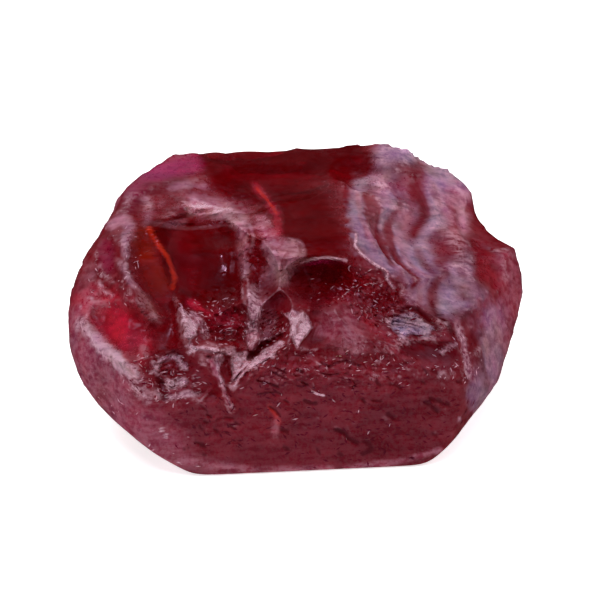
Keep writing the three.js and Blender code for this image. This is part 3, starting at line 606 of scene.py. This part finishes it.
def hollowDepth(u, v, hollow):
    centre, half, turn, deep, lean = hollow
    x, y = turned(u, v, centre, turn)
    x, y = x / half[0], y / half[1]
    inside = np.maximum(0, 1 - (x * x + y * y) ** stone["flatness"])
    return deep * inside * np.maximum(0, 1 + lean[0] * x + lean[1] * y)


def lineDistance(u, v, line):
    nearest = np.full(u.shape, 1e9)
    if len(line) == 1:
        return np.hypot(u - line[0][0], v - line[0][1])
    for (au, av), (bu, bv) in zip(line, line[1:]):
        lengthSq = (bu - au) ** 2 + (bv - av) ** 2
        t = np.clip(((u - au) * (bu - au) + (v - av) * (bv - av)) / lengthSq, 0, 1)
        nearest = np.minimum(nearest, np.hypot(u - au - t * (bu - au), v - av - t * (bv - av)))
    return nearest


def lineHeight(u, v, lines):
    height = np.zeros(u.shape)
    for line, half, rise in lines.values():
        height = np.maximum(height, rise * np.maximum(0, 1 - lineDistance(u, v, line) / half))
    return height


def mainRelief(u, v, hollows, ridges):
    depth = np.zeros(u.shape)
    for hollow in hollows.values():
        depth = np.maximum(depth, hollowDepth(u, v, hollow))
    return lineHeight(u, v, ridges) - depth


# Small relief that every side shares, in millimetres.
fineShape = {
    "swells": [(0.03, 1.3), (0.012, 0.45)],  # height and size
    "sideSwells": [(0.25, 1.1), (0.1, 0.4)],
    "sideWarp": (0.25, 1.4),
    "sideChip": 0.45,
    "chipStretch": 0.7,                      # a chip's height over its width
    "chipDice": 64,
    "grooveShare": 0.6,
    "shardReach": 1.4,
    "shardEdge": 0.07,
    "foldBend": 3,                           # size of a fold's bends, in spacings
}

def swellHeight(swells, point):
    return sum(rise * noiseAt(point, size) for rise, size in swells)

def chipHeight(u, v, ground, seed):
    # every little cell is a flat chip with a tilt of its own
    centre, half, turn, size, steep = ground
    mask = np.sqrt(patchMask(u, v, centre, half, turn))
    inside = mask > 0
    x, y = turned(u[inside], v[inside], centre, turn)
    x, y = x / size, y / size / fineShape["chipStretch"]
    count = fineShape["chipDice"]
    dice = np.random.default_rng(seed).random((count, count, 4))
    lowX, lowY = np.floor(x).astype(int), np.floor(y).astype(int)
    nearest = np.full(x.shape, 9.0)
    chip = np.zeros(x.shape)
    for stepX in (-1, 0, 1):
        for stepY in (-1, 0, 1):
            cellX, cellY = lowX + stepX, lowY + stepY
            cell = dice[cellX % count, cellY % count]
            dx, dy = x - cellX - cell[:, 0], y - cellY - cell[:, 1]
            apart = dx * dx + dy * dy
            near = apart < nearest
            nearest[near] = apart[near]
            lean = (dx * (cell[:, 2] - 0.5) + dy * (cell[:, 3] - 0.5)) * 2 * steep * size
            chip[near] = lean[near]
    height = np.zeros(u.shape)
    height[inside] = chip * mask[inside]
    return height


def outlineDepth(u, v, outline):
    # how far inside the outline a place lies, in millimetres
    closed = outline + [outline[0]]
    inside = np.zeros(u.shape, bool)
    for (au, av), (bu, bv) in zip(closed, closed[1:]):
        if av == bv:
            continue
        crossing = ((av > v) != (bv > v)) & (u < (bu - au) * (v - av) / (bv - av) + au)
        inside ^= crossing
    edge = lineDistance(u, v, closed)
    return np.where(inside, edge, -edge)


def shardHeight(u, v):
    height = np.zeros(u.shape)
    for outline, _, rise, (slopeU, slopeV) in shards.values():
        middleU, middleV = np.mean(outline, axis=0)
        near = np.hypot(u - middleU, v - middleV) < fineShape["shardReach"]
        nearU, nearV = u[near], v[near]
        inside = smoothstep(0, fineShape["shardEdge"], outlineDepth(nearU, nearV, outline))
        tilt = slopeU * (nearU - middleU) + slopeV * (nearV - middleV)
        height[near] += inside * (rise + tilt)
    return height


def foldHeight(u, v, point):
    height = np.zeros(u.shape)
    for centre, half, turn, spacing, rise in foldFields.values():
        mask = np.sqrt(patchMask(u, v, centre, half, turn))
        inside = mask > 0
        across = turned(u, v, centre, turn)[1]
        bend = spacing * noiseAt(point[inside], fineShape["foldBend"] * spacing)
        wave = 1 - 2 * np.abs(np.sin(math.pi * (across[inside] + bend) / spacing))
        height[inside] += rise * mask[inside] * wave
    return height


def fineRelief(u, v, point):
    height = swellHeight(fineShape["swells"], point) + foldHeight(u, v, point)
    cutDepth = fineShape["grooveShare"] * lineHeight(u, v, grooves)
    height += lineHeight(u, v, threads) - cutDepth + shardHeight(u, v)
    for seed, ground in enumerate(brokenGround.values()):
        height += chipHeight(u, v, ground, seed)
    return height


def bodySurface(direction):
    sums = np.zeros(len(direction))
    normal = np.zeros(direction.shape)
    for planeNormal, distance in planes:
        share = np.maximum(0, direction @ planeNormal / distance) ** stone["edgeHardness"]
        sums += share
        normal += share[:, None] * planeNormal / distance
    point = direction * (sums ** (-1 / stone["edgeHardness"]))[:, None]
    return point, normal / np.linalg.norm(normal, axis=1)[:, None]


def frontRelief(u, v, point):
    return mainRelief(u, v, frontHollows, frontRidges), fineRelief(u, v, point)


def sideRelief(hollows, seed, steep):
    ground = ((0, 0), (12, 12), 25 * seed, fineShape["sideChip"], steep)
    warp, warpSize = fineShape["sideWarp"]

    def relief(u, v, point):
        swell = steep * swellHeight(fineShape["sideSwells"], point)
        u = u + warp * noiseAt(point + 60, warpSize)
        v = v + warp * noiseAt(point - 60, warpSize)
        return mainRelief(u, v, hollows, {}), swell + chipHeight(u, v, ground, 50 + seed)
    return relief


carvings = [
    (front, frontRelief),
    (back, sideRelief(backHollows, 0, 0.2)),
    (rightEnd, sideRelief(rightHollows, 1, 0.1)),
    (leftEnd, sideRelief(leftHollows, 2, 0.1)),
    (top, sideRelief(topHollows, 3, 0)),
]


def carve(point, normal):
    point = point.copy()
    aboveBase = smoothstep(*stone["clearOfBase"], point[:, 2] + stone["middleHeight"])
    for side, relief in carvings:
        toEye = normal @ side["eye"]
        seen = toEye > stone["facing"][0]
        spot = point[seen]
        main, fine = relief(spot @ side["right"], spot @ side["up"], spot)
        change = main * smoothstep(*stone["facing"], toEye[seen])
        change += fine * smoothstep(*stone["fineFacing"], toEye[seen])
        point[seen] = spot + side["eye"] * (change * aboveBase[seen])[:, None]
    for at, around, radius, deep in notches:
        a = math.radians(around)
        inwards = place(front, -math.cos(a), -math.sin(a), 0)
        offset = point - place(front, *at)
        along = offset @ front["eye"]
        offset = offset - front["eye"] * ((1 - stone["notchStretch"]) * along)[:, None]
        apart = np.linalg.norm(offset, axis=1)
        point = point + inwards * (deep * np.maximum(0, 1 - (apart / radius) ** 2))[:, None]
    point[:, 2] = np.maximum(point[:, 2], -stone["middleHeight"])
    return point


def latticeSphere(steps):
    # a cube's surface lattice, spread evenly over a ball
    grid = np.arange(steps + 1) * 2 - steps
    a, b = np.meshgrid(grid, grid, indexing="ij")
    sheets = []
    for axis in range(3):
        for sign in (1, -1):
            sheet = np.zeros(a.shape + (3,), int)
            sheet[..., axis] = steps * sign
            sheet[..., (axis + 1) % 3] = a * sign
            sheet[..., (axis + 2) % 3] = b
            sheets.append(sheet.reshape(-1, 3))
    points, index = np.unique(np.concatenate(sheets), axis=0, return_inverse=True)
    index = index.reshape(6, steps + 1, steps + 1)
    quads = np.stack([index[:, :-1, :-1], index[:, 1:, :-1], index[:, 1:, 1:], index[:, :-1, 1:]], -1)
    spread = np.tan(points / steps * math.pi / 4)
    return spread / np.linalg.norm(spread, axis=1)[:, None], quads.reshape(-1, 4)


def fleckShare(point, normal, zones):
    facing = smoothstep(0.15, 0.5, normal @ front["eye"])
    u, v = point @ front["right"], point @ front["up"]
    share = np.zeros(len(point))
    for centre, half, turn, strength in zones:
        share = np.maximum(share, strength * np.sqrt(patchMask(u, v, centre, half, turn)))
    return share * facing


def spreadOut(values, quads, rounds):
    # averages each vertex with its neighbours again and again
    ends = np.concatenate([quads, np.roll(quads, -1, axis=1)]).ravel()
    others = np.concatenate([np.roll(quads, -1, axis=1), quads]).ravel()
    count = np.bincount(ends, minlength=len(values))
    for _ in range(rounds):
        values = np.bincount(ends, values[others], minlength=len(values)) / count
    return values


# How the finishes are laid: strength, then the values where it starts and is full.
paint = {
    # painted shade: the hollows ramp darkens the skin the further it lies below the natural face
    "hollows": (0.8, 0.15, 0.6),   # by millimetres below the natural face
    "facing": (1, 0.05, 0.3),      # by the cosine to the eye
    "sideZones": (1, 0.05, 0.55),
    "shadedUpperSlopes": (0.7, 0.1, 0.4),
    "strokes": (1, 1.4, 0.3),      # by half widths from the stroke's middle
    "darkSilk": (0.8, 0.1, 0.45),
    "paleSilk": (0.4, 0.1, 0.5),
    "shards": (0.85, -0.03, 0.06),
    "shadedCuts": (0.85, 0.01, 0.045),
    "shadedDips": (0.4, 0.004, 0.05),
    "highlitCrests": (0.3, 0.006, 0.04),
    "highlitPatches": (1, -0.35, 0.3),
    "highlitRough": (1, 0.2, 0.4),
}
raggedSwells = [(0.6, 0.28), (0.4, 0.12)]  # of the edges: share and size
shardRaggedness = 0.09
crestRounds = 10
zoneStep = 40                              # millimetres of noise from one side zone to the next
zoneDetail = (0.5, 0.35)                   # share and size of a zone's finer edge
silkBend = 5                               # size of a streak's bends, in spacings
silkStretch = 0.15                         # under 1, the streaks run on along their length

def ramp(name, x):
    strength, start, full = paint[name]
    return strength * smoothstep(start, full, x)

def paintStone(point, normal, height, quads):
    # colour, roughness and pale frost sheen of the skin at each vertex; many finishes laid here are painted
    # highlights, reflections, glows and shade
    skin = [np.tile(np.array(part, float), (len(point), 1)) for part in finishes["wine"]]

    def lay(finish, strength):
        for layer, part in zip(skin, finishes[finish]):
            layer += (np.array(part) - layer) * strength[:, None]

    # painted shade: hollows are laid deep red by their depth
    lay("deep", ramp("hollows", -height))
    facing = ramp("facing", normal @ front["eye"])
    # the sides out of view: zones with pale frost sheen and redder zones, drawn from noise alone
    detail, detailSize = zoneDetail
    for seed, (finish, size, strength) in enumerate(sideZones):
        zone = noiseAt(point + zoneStep * seed, size)
        zone = zone + detail * noiseAt(point - zoneStep * seed, detailSize * size)
        lay(finish, strength * ramp("sideZones", zone) * (1 - facing))
    u, v = point @ front["right"], point @ front["up"]
    # painted shade: faces that turn upwards are laid darker
    lay("deepWine", ramp("shadedUpperSlopes", normal @ front["up"]) * facing)
    ragged = swellHeight(raggedSwells, point)
    for finish, line, half, strength, raggedness in strokes:
        reach = lineDistance(u, v, line) / half
        mask = ramp("strokes", reach + raggedness * ragged)
        lay(finish, strength * mask * facing)
    for centre, half, turn, spacing in silkFields:
        mask = np.sqrt(patchMask(u, v, centre, half, turn)) * facing
        along, across = turned(u, v, centre, turn)
        bent = across + spacing * noiseAt(point, silkBend * spacing)
        drawn = silkStretch * along
        silk = noiseAt(np.column_stack([bent, drawn, drawn]), spacing)
        lay("deepWine", mask * ramp("darkSilk", silk))
        lay("cloud", mask * ramp("paleSilk", -silk))
    # shards take their finish; the bright and lilac ones are painted highlights
    for outline, finish, _, _ in shards.values():
        inside = ramp("shards", outlineDepth(u, v, outline) + shardRaggedness * ragged)
        lay(finish, inside * facing)
    # painted shade: the grooves are laid dark
    lay("grooveShade", ramp("shadedCuts", lineHeight(u, v, grooves)) * facing)
    crest = height - spreadOut(height, quads, crestRounds)
    # painted shade: dips and troughs between crests are laid darker
    lay("deep", ramp("shadedDips", -crest))
    tint, rough, frost = skin
    # painted highlight: raised crests get more pale frost sheen, in patches, where the skin is rough
    crestHighlight = ramp("highlitCrests", crest) * ramp("highlitPatches", ragged)
    frost = frost[:, 0] + crestHighlight * ramp("highlitRough", rough[:, 0])
    return tint, rough[:, 0], np.clip(frost, 0, 1)


print("stone: shaping the surface")
direction, quads = latticeSphere(stone["latticeSteps"])
direction = direction @ np.stack([front["right"], front["up"], front["eye"]])
direction = direction + front["eye"] * stone["crowding"]
direction /= np.linalg.norm(direction, axis=1)[:, None]
bodyPoint, bodyNormal = bodySurface(direction)
surface = carve(bodyPoint, bodyNormal)
raised = np.sum((surface - bodyPoint) * bodyNormal, axis=1)

cadLow, cadHigh = (np.array(corner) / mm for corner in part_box("ruby"))
meshLow, meshHigh = surface.min(0), surface.max(0)
shift = (cadLow + cadHigh - meshLow - meshHigh) / 2
shift[2] = cadLow[2] - meshLow[2]
print("stone: size", meshHigh - meshLow, "solid", cadHigh - cadLow)

print("stone: painting the finishes")
tint, rough, frost = paintStone(bodyPoint, bodyNormal, raised, quads)

mesh = bpy.data.meshes.new("rubyStone")
mesh.from_pydata(((surface + shift) * mm).tolist(), [], quads.tolist())
mesh.update()
tintLayer = mesh.attributes.new("tint", "FLOAT_COLOR", "POINT")
tintLayer.data.foreach_set("color", np.column_stack([tint, np.ones(len(tint))]).ravel())
roughLayer = mesh.attributes.new("rough", "FLOAT", "POINT")
roughLayer.data.foreach_set("value", rough)
frostSheenLayer = mesh.attributes.new("frost", "FLOAT", "POINT")
frostSheenLayer.data.foreach_set("value", frost)
for name, zones in fleckZones.items():
    share = fleckShare(bodyPoint, bodyNormal, zones)
    mesh.attributes.new(name, "FLOAT", "POINT").data.foreach_set("value", share)
mesh.polygons.foreach_set("use_smooth", [True] * len(mesh.polygons))
mesh.set_sharp_from_angle(angle=math.radians(stone["sharpAngle"]))
ruby = bpy.data.objects.new("rubyStone", mesh)
bpy.context.scene.collection.objects.link(ruby)

crystal = {
    "transmission": 0.45,
    "ior": 1.77,
    "specularTint": (0.45, 0.28, 0.42, 1),
    "specularLevel": 0.5,
    "absorptionColour": (0.79, 0.042, 0.5, 1),
    "absorptionDensity": 900.0,
    # the pale frost sheen's colour, a painted highlight colour
    "frostSheenColour": (0.98, 0.6, 0.72, 1),
    "cloudScale": 900.0,
    "streakScale": 4200.0,
    "streakStretch": (0.22, 1.0, 1.0),
    "streakTurn": (0.0, 0.35, 0.25),
    "driftGain": (1.0, 1.3, 1.5),
    "driftFloor": (0.5, 0.35, 0.25),
    "grainScale": 7000.0,
    "grainBump": 0.000025,
    # ramps: from, to, value at from, value at to
    "streakShade": (0.35, 0.65, 0.82, 1.18),
    "frostSheenMottle": (0.43, 0.58, 0.0, 1.9),
    "grainRough": (0.3, 0.7, -0.1, 0.1),
    "bumpByRough": (0.26, 0.5, 0.0, 0.6),
    "mottleShares": (0.55, 0.45),  # of the grain and of the streaks
}


def rubyMaterial():
    material = bpy.data.materials.new("rubyCrystal")
    material.use_nodes = True
    nodes, links = material.node_tree.nodes, material.node_tree.links
    shader = nodes["Principled BSDF"]
    shader.inputs["IOR"].default_value = crystal["ior"]
    shader.inputs["Transmission Weight"].default_value = crystal["transmission"]
    shader.inputs["Specular Tint"].default_value = crystal["specularTint"]
    shader.inputs["Specular IOR Level"].default_value = crystal["specularLevel"]
    coords = nodes.new("ShaderNodeTexCoord")

    def attribute(name, output):
        node = nodes.new("ShaderNodeAttribute")
        node.attribute_name = name
        return node.outputs[output]

    def noise(scale, detail, harshness, where=coords.outputs["Object"], output="Fac"):
        node = nodes.new("ShaderNodeTexNoise")
        node.inputs["Scale"].default_value = scale
        node.inputs["Detail"].default_value = detail
        node.inputs["Roughness"].default_value = harshness
        links.new(where, node.inputs["Vector"])
        return node.outputs[output]

    def remap(value, fromMin, fromMax, toMin, toMax):
        node = nodes.new("ShaderNodeMapRange")
        numbers = {"From Min": fromMin, "From Max": fromMax, "To Min": toMin, "To Max": toMax}
        for name, number in numbers.items():
            node.inputs[name].default_value = number
        links.new(value, node.inputs["Value"])
        return node.outputs["Result"]

    def math2(operation, a, b):
        node = nodes.new("ShaderNodeMath")
        node.operation = operation
        for socket, value in zip(node.inputs, (a, b)):
            if isinstance(value, float):
                socket.default_value = value
            else:
                links.new(value, socket)
        return node.outputs["Value"]

    stretch = nodes.new("ShaderNodeMapping")
    stretch.inputs["Scale"].default_value = crystal["streakStretch"]
    stretch.inputs["Rotation"].default_value = crystal["streakTurn"]
    links.new(coords.outputs["Object"], stretch.inputs["Vector"])
    grain = noise(crystal["grainScale"], 6.0, 0.7)
    streak = noise(crystal["streakScale"], 5.0, 0.6, stretch.outputs["Vector"])
    cloud = noise(crystal["cloudScale"], 5.0, 0.6, output="Color")

    # the colour drifts a little in each channel, and along the streaks
    drift = nodes.new("ShaderNodeVectorMath")
    drift.operation = "MULTIPLY_ADD"
    links.new(cloud, drift.inputs[0])
    drift.inputs[1].default_value = crystal["driftGain"]
    drift.inputs[2].default_value = crystal["driftFloor"]
    drifted = nodes.new("ShaderNodeVectorMath")
    drifted.operation = "MULTIPLY"
    links.new(attribute("tint", "Color"), drifted.inputs[0])
    links.new(drift.outputs["Vector"], drifted.inputs[1])
    shade = nodes.new("ShaderNodeVectorMath")
    shade.operation = "SCALE"
    links.new(drifted.outputs["Vector"], shade.inputs[0])
    links.new(remap(streak, *crystal["streakShade"]), shade.inputs["Scale"])

    # the pale frost sheen, a painted sheen and glints on the skin, is mottled and streaky
    grainShare, streakShare = crystal["mottleShares"]
    mottle = math2("ADD", math2("MULTIPLY", grain, grainShare), math2("MULTIPLY", streak, streakShare))
    frostSheened = math2("MULTIPLY", attribute("frost", "Fac"), remap(mottle, *crystal["frostSheenMottle"]))
    mix = nodes.new("ShaderNodeMix")
    mix.data_type = "RGBA"  # its sockets 6, 7 and output 2 are the colours
    links.new(frostSheened, mix.inputs[0])
    links.new(shade.outputs["Vector"], mix.inputs[6])
    mix.inputs[7].default_value = crystal["frostSheenColour"]
    links.new(mix.outputs[2], shader.inputs["Base Color"])

    roughness = math2("ADD", attribute("rough", "Fac"), remap(grain, *crystal["grainRough"]))
    links.new(roughness, shader.inputs["Roughness"])

    bump = nodes.new("ShaderNodeBump")
    bump.inputs["Distance"].default_value = crystal["grainBump"]
    links.new(remap(attribute("rough", "Fac"), *crystal["bumpByRough"]), bump.inputs["Strength"])
    links.new(mottle, bump.inputs["Height"])
    links.new(bump.outputs["Normal"], shader.inputs["Normal"])

    absorption = nodes.new("ShaderNodeVolumeAbsorption")
    absorption.inputs["Color"].default_value = crystal["absorptionColour"]
    absorption.inputs["Density"].default_value = crystal["absorptionDensity"]
    links.new(absorption.outputs["Volume"], nodes["Material Output"].inputs["Volume"])
    return material


# Flecks strewn over the surface, for a square metre and in metres. The pale splinters' tint and frost sheen
# are painted glints.
flecks = {
    "glintSplinters": {"Density": 3.2e7, "Length": 0.00007, "Width": 0.2, "Height": 0.3, "Spread": 1.2,
                  "Seed": 3, "Run": (1, 0, 0.3), "FrostSheen": 0.9, "Tint": (0.8, 0.42, 0.52, 1)},
    "etchPits": {"Density": 1.5e7, "Length": 0.00008, "Width": 0.33, "Height": 0.08, "Spread": 0.9,
                 "Seed": 8, "Run": (1, 0, -0.3), "FrostSheen": 0.0, "Tint": (0.15, 0.0, 0.008, 1)},
}
fleckSockets = {
    "Density": "NodeSocketFloat", "Length": "NodeSocketFloat", "Width": "NodeSocketFloat",
    "Height": "NodeSocketFloat", "Spread": "NodeSocketFloat", "Seed": "NodeSocketInt",
    "Run": "NodeSocketVector", "FrostSheen": "NodeSocketFloat", "Tint": "NodeSocketColor",
    "Zone": "NodeSocketString", "Material": "NodeSocketMaterial",
}


def fleckTree():
    tree = bpy.data.node_groups.new("surfaceFlecks", "GeometryNodeTree")
    tree.interface.new_socket("Geometry", in_out="INPUT", socket_type="NodeSocketGeometry")
    for name, kind in fleckSockets.items():
        tree.interface.new_socket(name, in_out="INPUT", socket_type=kind)
    tree.interface.new_socket("Geometry", in_out="OUTPUT", socket_type="NodeSocketGeometry")
    nodes, links = tree.nodes, tree.links
    given = nodes.new("NodeGroupInput").outputs

    def add(kind, **values):
        node = nodes.new(kind)
        for name, value in values.items():
            setattr(node, name, value)
        return node

    def feed(node, **sources):
        for name, source in sources.items():
            socket = node.inputs[int(name[1:])] if name[1:].isdigit() else node.inputs[name.replace("_", " ")]
            if isinstance(source, bpy.types.NodeSocket):
                links.new(source, socket)
            else:
                socket.default_value = source
        return node

    zone = feed(add("GeometryNodeInputNamedAttribute", data_type="FLOAT"), Name=given["Zone"])
    density = feed(add("ShaderNodeMath", operation="MULTIPLY"),
                   i0=zone.outputs["Attribute"], i1=given["Density"])
    strewn = feed(add("GeometryNodeDistributePointsOnFaces", distribute_method="RANDOM"),
                  Mesh=given["Geometry"], Density=density.outputs["Value"], Seed=given["Seed"])

    # each fleck is a flat eight-sided splinter that lies along the run, more or less
    ball = feed(add("GeometryNodeMeshUVSphere"), Segments=4, Rings=2, Radius=1.0)
    flat = feed(add("ShaderNodeCombineXYZ"), X=1.0, Y=given["Width"], Z=given["Height"])
    splinter = feed(add("GeometryNodeTransform"), Geometry=ball.outputs["Mesh"], Scale=flat.outputs["Vector"])
    low, high = (-1.0, -1.0, -1.0), (1.0, 1.0, 1.0)
    stray = feed(add("FunctionNodeRandomValue", data_type="FLOAT_VECTOR"),
                 Min=low, Max=high, Seed=given["Seed"])
    spread = feed(add("ShaderNodeVectorMath", operation="SCALE"), i0=stray.outputs[0], Scale=given["Spread"])
    run = feed(add("ShaderNodeVectorMath", operation="ADD"), i0=given["Run"], i1=spread.outputs["Vector"])
    turn = feed(add("FunctionNodeAlignRotationToVector", axis="X", pivot_axis="Z"),
                Rotation=strewn.outputs["Rotation"], Vector=run.outputs["Vector"])
    size = feed(add("FunctionNodeRandomValue", data_type="FLOAT"), i2=0.4, i3=1.6, Seed=given["Seed"])
    length = feed(add("ShaderNodeMath", operation="MULTIPLY"), i0=size.outputs[1], i1=given["Length"])
    placed = feed(add("GeometryNodeInstanceOnPoints"), Points=strewn.outputs["Points"],
                  Instance=splinter.outputs["Geometry"], Rotation=turn.outputs["Rotation"],
                  Scale=length.outputs["Value"])
    whole = feed(add("GeometryNodeRealizeInstances"), Geometry=placed.outputs["Instances"])
    frostSheened = feed(add("GeometryNodeStoreNamedAttribute", data_type="FLOAT", domain="POINT"),
                   Geometry=whole.outputs["Geometry"], Name="frost", Value=given["FrostSheen"])
    tinted = feed(add("GeometryNodeStoreNamedAttribute", data_type="FLOAT_COLOR", domain="POINT"),
                  Geometry=frostSheened.outputs["Geometry"], Name="tint", Value=given["Tint"])
    joined = add("GeometryNodeJoinGeometry")
    links.new(tinted.outputs["Geometry"], joined.inputs["Geometry"])
    links.new(given["Geometry"], joined.inputs["Geometry"])
    realized = feed(add("GeometryNodeRealizeInstances"), Geometry=joined.outputs["Geometry"])
    finished = feed(add("GeometryNodeSetMaterial"), Geometry=realized.outputs["Geometry"],
                    Material=given["Material"])
    feed(nodes.new("NodeGroupOutput"), Geometry=finished.outputs["Geometry"])
    return tree


print("stone: strewing flecks")
rubyCrystal = rubyMaterial()
mesh.materials.append(rubyCrystal)
tree = fleckTree()
sockets = {item.name: item.identifier for item in tree.interface.items_tree if item.in_out == "INPUT"}
for zone, values in flecks.items():
    modifier = ruby.modifiers.new(zone, "NODES")
    modifier.node_group = tree
    modifier[sockets["Zone"]] = zone
    modifier[sockets["Material"]] = rubyCrystal
    for name, value in values.items():
        modifier[sockets[name]] = value
depsgraph = bpy.context.evaluated_depsgraph_get()
ruby.data = bpy.data.meshes.new_from_object(ruby.evaluated_get(depsgraph), depsgraph=depsgraph)
ruby.modifiers.clear()
print("stone: triangles", sum(len(face.vertices) - 2 for face in ruby.data.polygons))
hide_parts("ruby")
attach(ruby, "root")

print("scene: floor, lights and camera")
studio = {
    "floorHalf": 1.5,
    "floorGlow": 0.7,
    "floorGap": 0.00001,
    "worldColour": (0.004, 0.004, 0.004, 1),
    "lampColour": (1, 0.97, 1),
    "lampDistance": 0.5,
    "paperColour": (0.92, 0.92, 0.92, 1),
    "paperRoughness": 0.9,
    "paperGloss": 0.1,
}
half = studio["floorHalf"]
floorMesh = bpy.data.meshes.new("floor")
corners = [(-half, -half, 0), (half, -half, 0), (half, half, 0), (-half, half, 0)]
floorMesh.from_pydata(corners, [], [(0, 1, 2, 3)])
floor = bpy.data.objects.new("floor", floorMesh)
bpy.context.scene.collection.objects.link(floor)
floor.location.z = cadLow[2] * mm - studio["floorGap"]
paper = bpy.data.materials.new("paper")
paper.use_nodes = True
paperShader = paper.node_tree.nodes["Principled BSDF"]
paperShader.inputs["Base Color"].default_value = studio["paperColour"]
paperShader.inputs["Roughness"].default_value = studio["paperRoughness"]
paperShader.inputs["Specular IOR Level"].default_value = studio["paperGloss"]
paperShader.inputs["Emission Color"].default_value = (1, 1, 1, 1)
paperShader.inputs["Emission Strength"].default_value = studio["floorGlow"]
floorMesh.materials.append(paper)
floor.visible_glossy = False  # as if a dark card kept its glare off the faces

world = bpy.data.worlds.new("studio")
world.use_nodes = True
world.node_tree.nodes["Background"].inputs["Color"].default_value = studio["worldColour"]
bpy.context.scene.world = world

# Soft boxes, in metres. Azimuth 0 is behind the stone and 90 to its right.
softBoxes = {
    "overhead": {"azimuth": 180, "elevation": 80, "size": 0.5, "radiance": 2.4, "gloss": False},
    "backLeft": {"azimuth": -25, "elevation": 40, "size": 0.34, "radiance": 3.5, "gloss": False},
    "gleam": {"azimuth": 42, "elevation": 42, "size": 0.1, "radiance": 7.0, "gloss": False},
    "left": {"azimuth": -105, "elevation": 38, "size": 0.12, "radiance": 9.0, "gloss": False},
    "right": {"azimuth": 80, "elevation": 38, "size": 0.3, "radiance": 2.2, "gloss": False},
    "spark": {"azimuth": -150, "elevation": 62, "size": 0.05, "radiance": 26.0, "gloss": True},
}


def addSoftBox(name, azimuth, elevation, size, radiance, gloss):
    lamp = bpy.data.lights.new(name, "AREA")
    lamp.size = size
    lamp.energy = radiance * math.pi * size * size
    lamp.color = studio["lampColour"]
    a, e = math.radians(azimuth), math.radians(elevation)
    way = Vector((math.sin(a) * math.cos(e), math.cos(a) * math.cos(e), math.sin(e)))
    box = bpy.data.objects.new(name, lamp)
    bpy.context.scene.collection.objects.link(box)
    box.visible_glossy = gloss
    box.location = way * studio["lampDistance"]
    box.rotation_euler = way.to_track_quat("Z", "Y").to_euler()


for name, values in softBoxes.items():
    addSoftBox(name, **values)

camera = bpy.data.objects.new("camera", bpy.data.cameras.new("camera"))
bpy.context.scene.collection.objects.link(camera)
camera.data.lens = view["lens"]
camera.data.sensor_width = view["sensor"]
camera.data.clip_start = view["clipStart"]
distance = view["frameWidth"] * view["lens"] / view["sensor"]
aim = shift + place(front, *view["frameMiddle"], 0)
camera.location = (aim + front["eye"] * distance) * mm
camera.rotation_euler = (math.radians(90 - view["lookDown"]), 0, 0)
bpy.context.scene.camera = camera

scene = bpy.context.scene
scene.view_settings.view_transform = "Standard"
scene.cycles.max_bounces = 24
scene.cycles.transmission_bounces = 24
scene.cycles.glossy_bounces = 12
scene.cycles.diffuse_bounces = 4
scene.cycles.use_denoising = True
scene.cycles.sample_clamp_indirect = 6
scene.cycles.blur_glossy = 0.5
